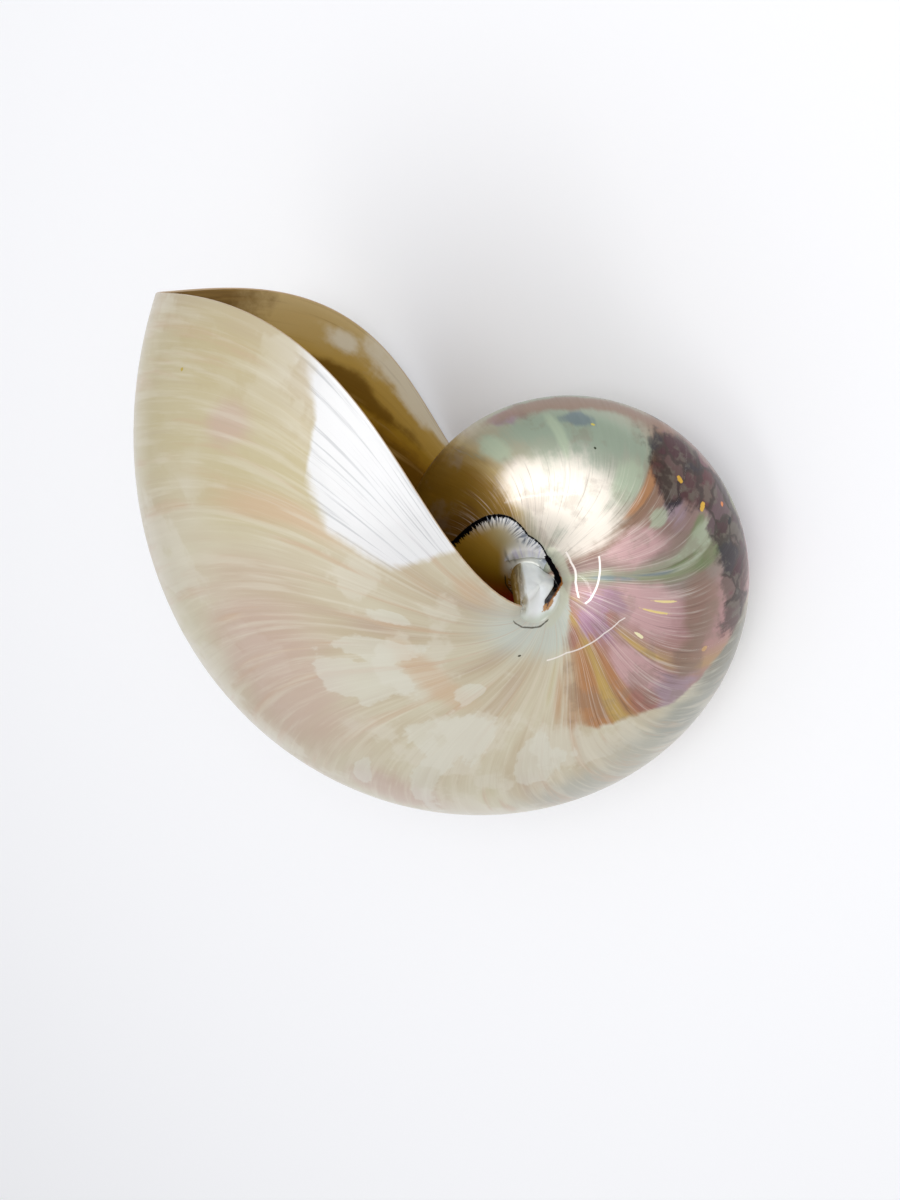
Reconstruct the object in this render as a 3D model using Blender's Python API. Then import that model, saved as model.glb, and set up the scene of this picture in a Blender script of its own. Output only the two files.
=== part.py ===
"""A whole nautilus shell, ground and polished down to its pearl, lying on one flank.

Metres, +Z up, origin at the bottom centre. The shell grew as one piece, so it is one solid. It is built
the way it grows: a ring of points that follows the lip is extruded from one stage of growth to the next
round the coiling axis. The coil has its own frame: its axis is Z, its median plane is Z = 0, and a stage
of growth is an angle that runs clockwise seen from +Z, with 0 where the lip crosses the median plane.
The shell is solid behind its last septum, where the real one has closed chambers.
"""

from math import cos, exp, pi, radians, sin

import bmesh
import bpy
import numpy as np
from mathutils import Euler, Vector

# The spiral: the radius of the outer edge at the lip, and how fast it grows with the angle
LIP_RADIUS = 0.100
GROWTH = 0.2158
GROWTH_RISE = 0.00637

# The section of a whorl, as shares of its outer radius
FLANK_HALF_WIDTH = 0.4202
FLANK_RADIUS = 0.3344
SHOULDER_HALF_WIDTH = 0.3353
SHOULDER_RADIUS = 0.0611
OUTER_FULLNESS = 1.891
INNER_FULLNESS = 2.414

# How far the lip leads the middle, in radians, by powers of the share of the way to the umbilicus
LIP_LEAD = (-0.011, 2.522, -3.595, 0.804)

# The wall, the open living chamber and the septum that closes it
WALL = 0.0013
CHAMBER_ARC = radians(135)
SEPTUM_DEPTH = 0.010
SEPTUM_CENTRE = 0.40
SEPTUM_STEPS = (0.4, 0.75, 1)

# Where the whorl's ring ends at the umbilicus: at the callus, and at its foot on the whorl before
RIM_SHARE = 0.975
FOOT_SHARE = 0.830
FOOT_ARC = radians(80)
FOOT_LAG = radians(12)

# The callus, a sloping plug that fills the umbilicus from its rim to the end of the lip
CALLUS_CENTRE = Vector((0.0028, 0.0004, 0.0205))
CALLUS_CROWN = Vector((0, -0.0012, 0.0014))
CALLUS_STEPS = (0.3, 0.65, 1)

# How the coil lies on its flank: its turns about X, Y and Z
LIE = Euler((radians(12.5), radians(-21.3), radians(160.1)))

# How finely the ring is divided
COLUMNS = 18
WALL_FOOT_STEPS = 5
WHORL_ROWS = 64
CHAMBER_ROWS = round(WHORL_ROWS * CHAMBER_ARC / (2 * pi))
STEP = 2 * pi / WHORL_ROWS
NUDGE = 1e-4
MERGE = 2e-6

SHARP_ANGLE = radians(40)
PEARL = (0.74, 0.68, 0.58, 1.0)
PEARL_ROUGHNESS = 0.22


def half_section():
    """Shares of the way, radii and half widths from the outer edge round the flank to the shoulder."""
    turn = np.linspace(0, pi, 721)
    across, along = np.sin(turn), np.cos(turn)
    outer = along > 0
    power = np.where(outer, 2 / OUTER_FULLNESS, 2 / INNER_FULLNESS)
    reach = np.where(outer, 1 - FLANK_RADIUS, SHOULDER_RADIUS - FLANK_RADIUS)
    radius = FLANK_RADIUS + reach * np.abs(along) ** power
    base = np.where(outer, 0, SHOULDER_HALF_WIDTH)
    half_width = base + (FLANK_HALF_WIDTH - base) * np.abs(across) ** power
    way = np.cumsum(np.hypot(np.diff(radius, prepend=1), np.diff(half_width, prepend=0)))
    return way / way[-1], radius, half_width


SECTION = half_section()


def outer_radius(angle):
    """Distance from the axis to the outer edge of the whorl at a stage of growth."""
    return LIP_RADIUS * exp(GROWTH * angle + GROWTH_RISE * angle * angle)


def outer_point(angle, share, side):
    """A point of the outer surface, on the growth line of this stage."""
    share_of_radius = float(np.interp(share, SECTION[0], SECTION[1]))
    share_of_width = float(np.interp(share, SECTION[0], SECTION[2]))
    turned = angle + sum(lead * share ** (power + 1) for power, lead in enumerate(LIP_LEAD))
    size = outer_radius(turned)
    reach = size * share_of_radius
    return Vector((reach * cos(turned), -reach * sin(turned), side * size * share_of_width))


def inner_point(angle, share, side):
    """The point one wall thickness inside the outer surface."""
    forward = outer_point(angle + NUDGE, share, side) - outer_point(angle - NUDGE, share, side)
    low, high = max(share - NUDGE, 0), share + NUDGE
    inward = outer_point(angle, high, side) - outer_point(angle, low, side)
    normal = side * forward.cross(inward).normalized()
    return outer_point(angle, share, side) + WALL * normal


def eased(share):
    """A smooth step from 0 to 1."""
    share = min(max(share, 0), 1)
    return share * share * (3 - 2 * share)


def foot_pull(angle):
    """How far the end of the ring has drawn back to the foot of the callus: 0 on the whorl, 1 at the foot."""
    return eased((FOOT_ARC - 2 * pi - angle) / FOOT_ARC)


def column_point(angle, column):
    """A point of the ring, whose last column is the rim of the umbilicus."""
    side = 1 if column >= 0 else -1
    way = abs(column) / COLUMNS
    pull = foot_pull(angle)
    rim = RIM_SHARE + (FOOT_SHARE - RIM_SHARE) * pull
    return outer_point(angle - FOOT_LAG * pull * way**6, rim * way, side)


def chamber_point(row, column):
    """A point of the inner wall, whose last columns run down the callus to the whorl before."""
    side = 1 if column >= 0 else -1
    angle = (row - WHORL_ROWS) * STEP
    way = min(abs(column) / COLUMNS, 1)
    top = inner_point(angle, RIM_SHARE * way, side)
    if abs(column) <= COLUMNS:
        return top
    foot = column_point(angle - 2 * pi, side * COLUMNS)
    corner = Vector((foot.x, foot.y, top.z))
    down = (abs(column) - COLUMNS) / WALL_FOOT_STEPS
    return top.lerp(corner, down).lerp(corner.lerp(foot, down), down)


def first_ring(shape, points):
    """Vertices in a row, joined by edges."""
    ring = [shape.verts.new(point) for point in points]
    for one, other in zip(ring, ring[1:]):
        shape.edges.new((one, other))
    return ring


def grown_from(vert, others):
    """The vertex among the others that an edge joins to this one."""
    return next(edge.other_vert(vert) for edge in vert.link_edges if edge.other_vert(vert) in others)


def grow(shape, ring, points):
    """Extrudes the ring's edges and moves the new ring to the points."""
    edges = [shape.edges.get(pair) for pair in zip(ring, ring[1:])]
    grown = set(bmesh.ops.extrude_edge_only(shape, edges=edges)["geom"])
    fresh = [grown_from(vert, grown) for vert in ring]
    for vert, point in zip(fresh, points):
        vert.co = point
    return fresh


def grow_whorls(shape):
    """The floor of the chamber and the whole last whorl; returns the ring at the lip."""
    columns = range(-COLUMNS, COLUMNS + 1)
    start = -2 * pi - CHAMBER_ROWS * STEP
    ring = first_ring(shape, [column_point(start, column) for column in columns])
    for row in range(1, CHAMBER_ROWS + WHORL_ROWS + 1):
        ring = grow(shape, ring, [column_point(start + row * STEP, column) for column in columns])
    return ring


def line_chamber(shape, lip):
    """Grows the lip's edge, then the inner wall back from it, with its last columns down the callus."""
    last = COLUMNS + WALL_FOOT_STEPS
    inside = [chamber_point(WHORL_ROWS, column) for column in range(-last, last + 1)]
    ring = grow(shape, lip, inside[WALL_FOOT_STEPS:-WALL_FOOT_STEPS])
    near = first_ring(shape, inside[-WALL_FOOT_STEPS:])
    far = first_ring(shape, inside[:WALL_FOOT_STEPS])
    shape.edges.new((ring[-1], near[0]))
    shape.edges.new((ring[0], far[-1]))
    ring = far + ring + near
    for row in range(WHORL_ROWS - 1, WHORL_ROWS - CHAMBER_ROWS - 1, -1):
        ring = grow(shape, ring, [chamber_point(row, column) for column in range(-last, last + 1)])


def open_loops(shape):
    """The loops of edges that have one face, from the far flank to the near one."""
    left = {edge for edge in shape.edges if edge.is_boundary}
    loops = []
    while left:
        loop, front = [], [left.pop()]
        while front:
            edge = front.pop()
            loop.append(edge)
            beside = {other for vert in edge.verts for other in vert.link_edges if other in left}
            left -= beside
            front.extend(beside)
        loops.append(loop)
    return sorted(loops, key=lambda loop: sum(edge.verts[0].co.z for edge in loop))


def draw_in(shape, loop, centre, steps, bulge):
    """Closes a loop: extrudes it towards the centre in steps, the last of them at the centre itself."""
    rim = {vert: vert.co.copy() for edge in loop for vert in edge.verts}
    for step in steps:
        grown = bmesh.ops.extrude_edge_only(shape, edges=loop)["geom"]
        fresh = [part for part in grown if isinstance(part, bmesh.types.BMVert)]
        rim = {vert: rim[grown_from(vert, rim)] for vert in fresh}
        for vert, start in rim.items():
            vert.co = start.lerp(centre, step) + bulge * step * (2 - step)
        loop = [part for part in grown if isinstance(part, bmesh.types.BMEdge)]


def close_septum(shape, loop):
    """The septum, hollow towards the lip."""
    angle = -CHAMBER_ROWS * STEP
    inner, outer = outer_radius(angle - 2 * pi), outer_radius(angle)
    reach = inner + SEPTUM_CENTRE * (outer - inner)
    centre = Vector((reach * cos(angle), -reach * sin(angle), 0))
    draw_in(shape, loop, centre, SEPTUM_STEPS, SEPTUM_DEPTH * Vector((sin(angle), cos(angle), 0)))


def build_shell():
    """The closed mesh of the shell, in the coil's frame."""
    shape = bmesh.new()
    line_chamber(shape, grow_whorls(shape))
    bmesh.ops.remove_doubles(shape, verts=shape.verts, dist=MERGE)
    far, septum, near = open_loops(shape)
    median = Vector((0, 0, 1))
    draw_in(shape, near, CALLUS_CENTRE, CALLUS_STEPS, CALLUS_CROWN)
    draw_in(shape, far, CALLUS_CENTRE.reflect(median), CALLUS_STEPS, CALLUS_CROWN.reflect(median))
    close_septum(shape, septum)
    bmesh.ops.remove_doubles(shape, verts=shape.verts, dist=MERGE)
    bmesh.ops.recalc_face_normals(shape, faces=shape.faces)
    return shape


def pearl():
    """Polished nacre: warm white, smooth, not metallic."""
    material = bpy.data.materials.new("polished nacre")
    material.use_nodes = True
    shader = material.node_tree.nodes["Principled BSDF"]
    shader.inputs["Base Color"].default_value = PEARL
    shader.inputs["Roughness"].default_value = PEARL_ROUGHNESS
    shader.inputs["Metallic"].default_value = 0.0
    return material


def lay_down(mesh):
    """Turns the coil onto its flank and sets the bottom centre at the origin."""
    mesh.transform(LIE.to_matrix().to_4x4())
    places = np.array([vert.co for vert in mesh.vertices])
    low, high = places.min(axis=0), places.max(axis=0)
    for vert in mesh.vertices:
        vert.co -= Vector(((low[0] + high[0]) / 2, (low[1] + high[1]) / 2, low[2]))


def main():
    """Models the shell as one object."""
    for thing in list(bpy.data.objects):
        bpy.data.objects.remove(thing)
    mesh = bpy.data.meshes.new("shell")
    shape = build_shell()
    shape.to_mesh(mesh)
    shape.free()
    lay_down(mesh)
    mesh.shade_smooth()
    mesh.set_sharp_from_angle(angle=SHARP_ANGLE)
    mesh.materials.append(pearl())
    bpy.context.collection.objects.link(bpy.data.objects.new("shell", mesh))


main()
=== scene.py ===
"""The looks of a whole nautilus shell, ground and polished down to its mother-of-pearl, lying on one flank.

Metres, +Z up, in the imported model's frame. The shell is grown the way the real one is: a ring that follows
the lip is extruded from one stage of growth to the next round the coiling axis. Every vertex keeps its stage
of growth, its share of the way from the outer edge to the umbilicus and its place in the coil's own frame,
so the finishes follow the growth lines.
"""

import logging
from collections.abc import Iterable, Mapping, Sequence
from dataclasses import dataclass, field
from enum import Enum, IntEnum
from functools import cached_property
from math import cos, pi, radians, sin, tau
from typing import Any

import bmesh
import bpy
import numpy as np
from mathutils import Euler, Matrix, Vector, noise


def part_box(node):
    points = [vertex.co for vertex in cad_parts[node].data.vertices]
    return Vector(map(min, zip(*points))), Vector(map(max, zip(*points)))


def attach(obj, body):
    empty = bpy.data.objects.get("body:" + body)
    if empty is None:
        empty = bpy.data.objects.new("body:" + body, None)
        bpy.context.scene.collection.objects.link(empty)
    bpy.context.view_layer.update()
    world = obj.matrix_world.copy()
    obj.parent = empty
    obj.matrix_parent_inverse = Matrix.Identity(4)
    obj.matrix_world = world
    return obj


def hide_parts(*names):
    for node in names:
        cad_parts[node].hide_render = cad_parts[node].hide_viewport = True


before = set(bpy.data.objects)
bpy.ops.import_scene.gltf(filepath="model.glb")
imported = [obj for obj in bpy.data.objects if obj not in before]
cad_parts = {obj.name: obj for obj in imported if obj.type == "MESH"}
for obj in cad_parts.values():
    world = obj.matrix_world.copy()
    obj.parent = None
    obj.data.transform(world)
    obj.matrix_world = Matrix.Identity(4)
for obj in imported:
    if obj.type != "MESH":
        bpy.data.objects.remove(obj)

LOG = logging.getLogger("nautilus")
MM = 0.001
NODE = "shell"
MERGE = 2e-6
SMOOTH = {"interpolation_type": "SMOOTHSTEP"}
WAVES_PER_METRE = 60
CALLUS_TOP = (2.2, -0.4)
CALLUS_REACH = 4.5
MOUTHWARD = (0.805, 0.594, 0.006)
TIPWARD = (-0.556, 0.750, 0.357)


class Side(IntEnum):
    """The two flanks: the near one lies up, the far one down."""

    NEAR = 1
    FAR = -1


class Region(IntEnum):
    """Which finish a face takes."""

    OUTSIDE = 0
    LINING = 1
    CALLUS = 2


class Layer(str, Enum):
    """What each vertex knows about its place on the shell."""

    GROWTH = "growth"
    ACROSS = "across"
    INWARD = "inward"
    DEPTH = "depth"


def linear(colour: str) -> tuple[float, float, float, float]:
    """Turns an sRGB hex colour to linear light.

    Args:
        colour: Six hex digits after a hash.

    Returns:
        Red, green, blue and an alpha of 1.
    """
    shares = [int(colour[at : at + 2], 16) / 255 for at in (1, 3, 5)]
    red, green, blue = (share / 12.92 if share <= 0.04045 else ((share + 0.055) / 1.055) ** 2.4 for share in shares)
    return red, green, blue, 1.0


def eased(share: np.ndarray | float) -> np.ndarray:
    """A smooth step from 0 to 1."""
    share = np.clip(share, 0, 1)
    return share * share * (3 - 2 * share)


@dataclass(frozen=True)
class Coil:
    """The spiral that the shell grows on, in the coil's frame: axis Z, median plane Z = 0, near flank up."""

    lip_radius: float = 0.100
    growth: float = 0.2158
    growth_rise: float = 0.00637
    flank_half_width: float = 0.4202
    flank_radius: float = 0.3344
    shoulder_half_width: float = 0.3353
    shoulder_radius: float = 0.0611
    outer_fullness: float = 1.891
    inner_fullness: float = 2.414
    lip_lead: tuple[float, ...] = (-0.011, 2.522, -3.595, 0.804)
    rim_share: float = 0.975
    foot_share: float = 0.830
    foot_arc: float = radians(80)
    foot_lag: float = radians(12)
    nudge: float = 1e-4
    lie: Euler = field(default_factory=lambda: Euler((radians(12.5), radians(-21.3), radians(160.1))))

    @cached_property
    def section(self) -> tuple[np.ndarray, np.ndarray, np.ndarray]:
        """Shares of the way, radii and half widths from the outer edge round the flank to the shoulder."""
        turn = np.linspace(0, pi, 721)
        across, along = np.sin(turn), np.cos(turn)
        outer = along > 0
        power = np.where(outer, 2 / self.outer_fullness, 2 / self.inner_fullness)
        reach = np.where(outer, 1 - self.flank_radius, self.shoulder_radius - self.flank_radius)
        radius = self.flank_radius + reach * np.abs(along) ** power
        base = np.where(outer, 0, self.shoulder_half_width)
        half_width = base + (self.flank_half_width - base) * np.abs(across) ** power
        way = np.cumsum(np.hypot(np.diff(radius, prepend=1), np.diff(half_width, prepend=0)))
        return way / way[-1], radius, half_width

    def outer_radius(self, angle: np.ndarray | float) -> np.ndarray:
        """Distance from the axis to the outer edge of the whorl at a stage of growth."""
        return self.lip_radius * np.exp(self.growth * angle + self.growth_rise * angle * angle)

    def outer(self, angle: np.ndarray, share: np.ndarray, side: np.ndarray) -> np.ndarray:
        """Points of the outer surface.

        Args:
            angle: Stages of growth in radians.
            share: Shares of the way from the outer edge to the umbilicus.
            side: Which flank each point is on, 1 or -1.

        Returns:
            One row of coordinates for each point.
        """
        way, radius, half_width = self.section
        turned = angle + sum(lead * share ** (power + 1) for power, lead in enumerate(self.lip_lead))
        size = self.outer_radius(turned)
        reach = size * np.interp(share, way, radius)
        rise = side * size * np.interp(share, way, half_width)
        return np.stack((reach * np.cos(turned), -reach * np.sin(turned), rise), axis=-1)

    def inward(self, angle: np.ndarray, share: np.ndarray, side: np.ndarray) -> np.ndarray:
        """Unit normals that point into the whorl, for the same points as outer."""
        ahead = self.outer(angle + self.nudge, share, side) - self.outer(angle - self.nudge, share, side)
        low, high = np.maximum(share - self.nudge, 0), share + self.nudge
        across = self.outer(angle, high, side) - self.outer(angle, low, side)
        normal = side[:, None] * np.cross(ahead, across)
        return normal / np.linalg.norm(normal, axis=1, keepdims=True)

    def foot_pull(self, angle: float) -> float:
        """How far the ring's end has drawn back to the foot of the callus: 0 on the whorl, 1 at the foot."""
        return float(eased((self.foot_arc - tau - angle) / self.foot_arc))


@dataclass(frozen=True)
class Patch:
    """A soft-edged place on the shell.

    Args:
        stage: Its stage of growth in degrees.
        way: Its share of the way to the umbilicus.
        stage_reach: Half its length in degrees.
        way_reach: Half its width in shares of the way.
        lean: Degrees of stage that it shifts over a whole way.
    """

    stage: float
    way: float
    stage_reach: float
    way_reach: float
    lean: float = 0.0

    def cover(self, stage: np.ndarray, way: np.ndarray) -> np.ndarray:
        """How much of the patch each point gets, from 0 to 1."""
        along = (stage - self.stage - self.lean * (way - self.way)) / self.stage_reach
        over = (way - self.way) / self.way_reach
        return np.exp(-0.7 * (along * along + over * over))


@dataclass(frozen=True)
class Tint:
    """A colour laid on the shell and the places that have it: a colour of the nacre, or painted light or shade."""

    name: str
    colour: str
    patches: tuple[Patch, ...]
    strength: float = 1.0

    def cover(self, stage: np.ndarray, way: np.ndarray) -> np.ndarray:
        """The strongest of its patches at each point."""
        return self.strength * np.max([patch.cover(stage, way) for patch in self.patches], axis=0)


@dataclass(frozen=True)
class Speck:
    """A small spot of another colour.

    Args:
        name: What it is.
        colour: Its hex colour.
        place: Its stage in degrees and share of the way, then its reach in both.
    """

    name: str
    colour: str
    place: tuple[float, float, float, float]


@dataclass(frozen=True)
class Mark:
    """A line drawn in the coil's plan near the umbilicus.

    Args:
        name: The attribute that holds the way to it, in millimetres.
        points: Its corners, in millimetres.
    """

    name: str
    points: tuple[tuple[float, float], ...]

    def gap(self, places: np.ndarray) -> np.ndarray:
        """The way from each place to the line, negative on its right-hand side."""
        best = np.full(len(places), 50.0)
        corners = np.array(self.points)
        for low, high in zip(corners, corners[1:]):
            leg, from_low = high - low, places - low
            share = np.clip(from_low @ leg / (leg @ leg), 0, 1)
            way = np.linalg.norm(from_low - share[:, None] * leg, axis=1)
            turned = leg[0] * from_low[:, 1] - leg[1] * from_low[:, 0]
            best = np.where(way < np.abs(best), np.where(turned < 0, -way, way), best)
        return best


@dataclass(frozen=True)
class Edge:
    """A boundary that crosses the whorl from the outer edge to the umbilicus.

    Args:
        ways: Shares of the way.
        stages: Its stage of growth at each, in degrees.
    """

    ways: tuple[float, ...]
    stages: tuple[float, ...]

    def at(self, way: np.ndarray) -> np.ndarray:
        """Its stage at shares of the way."""
        return np.interp(way, self.ways, self.stages)


@dataclass(frozen=True)
class Seam:
    """A thin pale line that runs along the whorl: a real crack, or a painted highlight where the gloss reflects a
    narrow lamp.

    Args:
        name: The attribute that holds the way to it, in shares of the way.
        stages: Stages of growth in degrees, rising.
        ways: Its share of the way at each.
        half: Half its width in shares of the way.
        most: How much of it shows.
    """

    name: str
    stages: tuple[float, ...]
    ways: tuple[float, ...]
    half: float
    most: float

    def gap(self, stage: np.ndarray, way: np.ndarray) -> np.ndarray:
        """The way from each point across to the line, 1 more beyond its ends."""
        past = (stage < self.stages[0]) | (stage > self.stages[-1])
        return way - np.interp(stage, self.stages, self.ways) + past


ZONE_EDGE = Edge(
    (0.0, 0.17, 0.25, 0.31, 0.36, 0.40, 0.46, 0.52, 0.575, 0.62, 0.82, 0.90, 0.93, 1.0),
    (-214, -207, -200, -196, -190, -185, -180, -172, -157, -151, -151, -158, -175, -330),
)
ZONE_SOFTNESS = ((0.45, 0.62, 0.80), (1.0, 2.5, 6.0))
# Where the painted highlight ends: the lip's white glare is painted into the base colour inside this edge.
LIP_GLARE_EDGE = Edge(
    (0.0, 0.43, 0.484, 0.509, 0.528, 0.54, 0.562, 0.609, 0.666, 0.712, 0.734, 0.772, 0.81, 1.0),
    (9, 1, -1.7, -4, -9, -17, -20.7, -25.7, -26.2, -26.2, -22.5, -12.5, 2, 9),
)
FILM_EDGE = Edge(
    (0.0, 0.20, 0.35, 0.444, 0.469, 0.497, 0.531, 0.569, 0.6125, 0.675, 0.7375, 0.7875, 0.8375, 0.872),
    (-395, -393, -389, -383.75, -377.5, -368.75, -358.75, -351.25, -345, -338.75, -332.5, -320, -307.5, -297.5),
)
SEAMS = (
    Seam("crack", (-211, -206, -190.5, -171.5, -149.5, -127.5), (0.722, 0.744, 0.784, 0.816, 0.847, 0.856), 0.003, 0.75),
    # painted highlights: the two crisp arcs where the gloss reflects a narrow lamp
    Seam("painted_glint_arc", (-260, -250.5, -239, -220, -209.8, -201.5), (0.756, 0.778, 0.803, 0.841, 0.859, 0.878), 0.005, 0.95),
    Seam("painted_inner_glint_arc", (-282.5, -266, -252.5, -231.5, -217.5, -205.5), (0.825, 0.856, 0.869, 0.897, 0.903, 0.90), 0.006, 0.9),
)
BODY_TINTS = (
    Tint("straw", "#BFB186", (Patch(-12, 0.26, 13, 0.17), Patch(-20, 0.46, 12, 0.15))),
    Tint("blush", "#C4AA9B", (Patch(-62, 0.42, 22, 0.15), Patch(-100, 0.30, 12, 0.08), Patch(-16, 0.40, 3, 0.04))),
    # painted shade: dark grey on the outer edge where the whorl turns away from the light
    Tint("painted_edge_shade", "#60645E", (Patch(-196, 0.20, 14, 0.14), Patch(-180, 0.28, 9, 0.10))),
    Tint("ash", "#A5A69B", (Patch(-172, 0.26, 20, 0.17), Patch(-146, 0.27, 14, 0.12), Patch(-262, 0.04, 30, 0.08))),
    Tint("peach", "#CBAE8E", (Patch(-11, 0.87, 8, 0.04), Patch(-26, 0.52, 3, 0.12), Patch(-76, 0.71, 22, 0.03))),
    Tint("sea_white", "#C0CAC2", (Patch(-70, 0.96, 62, 0.085), Patch(-150, 0.93, 60, 0.06), Patch(-240, 0.93, 50, 0.04))),
    Tint("rib", "#B8936E", (Patch(-143.5, 0.74, 2.4, 0.09, 12),)),
)
FROST = Tint(
    "frost",
    "#DEDED2",
    (
        Patch(-107, 0.46, 4, 0.22),
        Patch(-137, 0.52, 9, 0.10),
        Patch(-106, 0.60, 13, 0.09),
        Patch(-70, 0.60, 11, 0.08),
        Patch(-92, 0.74, 6, 0.03),
        Patch(-43, 0.72, 3, 0.04),
        Patch(-92, 0.33, 2.2, 0.06),
        Patch(-58, 0.66, 6, 0.07),
    ),
)
OLD_TINTS = (
    # painted shadow: dark gold where the near lip shades the older whorl, lit by golden reflected light
    Tint("painted_lip_shadow", "#86661A", (Patch(-358, 0.22, 14, 0.26), Patch(-352, 0.55, 12, 0.2))),
    # painted highlight: pale patch where the broad lamp glare lies on the older whorl
    Tint("painted_glare", "#F0E6DA", (Patch(-330, 0.50, 12, 0.12), Patch(-306, 0.58, 26, 0.20), Patch(-284, 0.70, 22, 0.16))),
    Tint("silver_green", "#9DAC98", (Patch(-312, 0.24, 20, 0.08), Patch(-287, 0.26, 12, 0.09))),
    Tint("celadon", "#B4C2A8", (Patch(-309, 0.28, 2.6, 0.13), Patch(-334, 0.26, 5, 0.09), Patch(-281, 0.42, 6, 0.10))),
    Tint("slate", "#77858A", (Patch(-300, 0.20, 6, 0.035), Patch(-238, 0.76, 2.4, 0.10), Patch(-240, 0.58, 1.2, 0.14))),
    Tint("rose", "#D0A8A8", (Patch(-256, 0.62, 11, 0.12), Patch(-222, 0.64, 15, 0.13), Patch(-190, 0.60, 10, 0.14))),
    Tint("mauve", "#A48E98", (Patch(-322, 0.11, 5, 0.06), Patch(-258, 0.37, 5, 0.07), Patch(-188, 0.42, 9, 0.09))),
    Tint("fawn", "#96796A", (Patch(-300, 0.085, 30, 0.06), Patch(-222, 0.43, 12, 0.08), Patch(-203, 0.43, 8, 0.07))),
    Tint("violet", "#A9819A", (Patch(-203, 0.82, 18, 0.07), Patch(-219, 0.77, 9, 0.05), Patch(-186, 0.86, 12, 0.04))),
    Tint("copper", "#B98355", (Patch(-272, 0.40, 2.2, 0.17), Patch(-179, 0.64, 3, 0.16), Patch(-164, 0.70, 7, 0.16))),
    Tint("red_clay", "#A87466", (Patch(-161, 0.88, 9, 0.03), Patch(-182, 0.52, 5, 0.07), Patch(-206, 0.76, 5, 0.03))),
    Tint("olive", "#76845A", (Patch(-236, 0.31, 2.8, 0.12), Patch(-247, 0.33, 2.2, 0.06), Patch(-241, 0.46, 1.4, 0.09))),
    Tint("sage", "#AFB89E", (Patch(-245, 0.36, 3.2, 0.10), Patch(-239.6, 0.42, 0.9, 0.14), Patch(-262, 0.46, 4, 0.04))),
    Tint("gold", "#C6A45C", (Patch(-171.5, 0.63, 3.2, 0.15), Patch(-200, 0.62, 1.4, 0.10))),
)
# Pieces of other layers together with painted shade: dark where the older whorl faces away from the light.
SHARDS_AND_SHADE = Tint(
    "shards_and_shade",
    "#4A3634",
    (Patch(-263, 0.24, 12, 0.16), Patch(-247, 0.18, 14, 0.12), Patch(-228, 0.18, 18, 0.12), Patch(-210, 0.22, 8, 0.10)),
)
SPECKS = (
    Speck("yellow_dot", "#B8A040", (-9.0, 0.26, 0.25, 0.003)),
    Speck("pit", "#4A4630", (-96.0, 0.88, 1.4, 0.003)),
    Speck("gold_one", "#D8A83A", (-262.0, 0.28, 1.3, 0.012)),
    Speck("gold_two", "#E0B040", (-250.0, 0.278, 1.0, 0.020)),
    Speck("gold_three", "#C8A070", (-205.0, 0.37, 1.0, 0.012)),
    Speck("glint", "#E08A50", (-242.5, 0.17, 0.7, 0.010)),
    Speck("dot_one", "#3A4430", (-296.5, 0.336, 0.5, 0.006)),
    Speck("dot_two", "#D8C860", (-295.0, 0.22, 0.7, 0.006)),
    Speck("fleck_one", "#F4E0A0", (-225.6, 0.575, 0.6, 0.05)),
    Speck("fleck_two", "#F0D890", (-220.0, 0.61, 0.6, 0.06)),
    Speck("fleck_three", "#F6ECC0", (-205.0, 0.66, 1.0, 0.018)),
    Speck("black_crack", "#0A0A10", (-270.0, 0.012, 2.4, 0.012)),
    Speck("black_chip", "#14100E", (-237.0, 0.172, 0.7, 0.018)),
)
LINING_TINTS = (
    # painted light and painted shade on the chamber's far wall
    Tint("painted_far_light", "#CFC6B2", (Patch(-2, 0.62, 5, 0.10), Patch(0, 0.72, 4, 0.10), Patch(-5.5, 0.47, 2.5, 0.05))),
    Tint("painted_far_shade", "#5A3A00", (Patch(-15, 0.50, 3, 0.20), Patch(-4, 0.14, 12, 0.12), Patch(-34, 0.5, 12, 0.5))),
)
MARKS = (
    Mark("gap", ((3.3, -5.5), (1.7, -4.75), (-0.05, -4.05), (-1.3, -3.1), (-1.55, -2.05), (-1.0, -0.9), (-0.7, 0.5))),
    Mark("stain", ((-1.2, -3.9), (-2.0, -3.0), (-2.15, -1.9), (-1.6, -0.7), (-1.3, 0.6), (-1.4, 1.3))),
    Mark("blot", ((-1.5, 0.4), (-1.2, 1.5))),
    Mark("rim", ((7.4, 3.6), (6.2, 5.0), (4.5, 5.7), (2.2, 6.2), (-0.3, 5.8), (-2.0, 5.1), (-3.1, 3.5))),
    Mark("halo", ((3.4, -7.4), (1.2, -7.0), (-2.2, -4.9), (-4.0, -1.6), (-4.1, 1.6), (-3.6, 3.4))),
    Mark("shelf", ((9.4, 0.2), (8.4, -1.0), (7.6, -2.0), (6.8, -3.0), (5.7, -3.8), (4.6, -4.6), (3.6, -5.4), (3.3, -6.0))),
)


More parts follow.
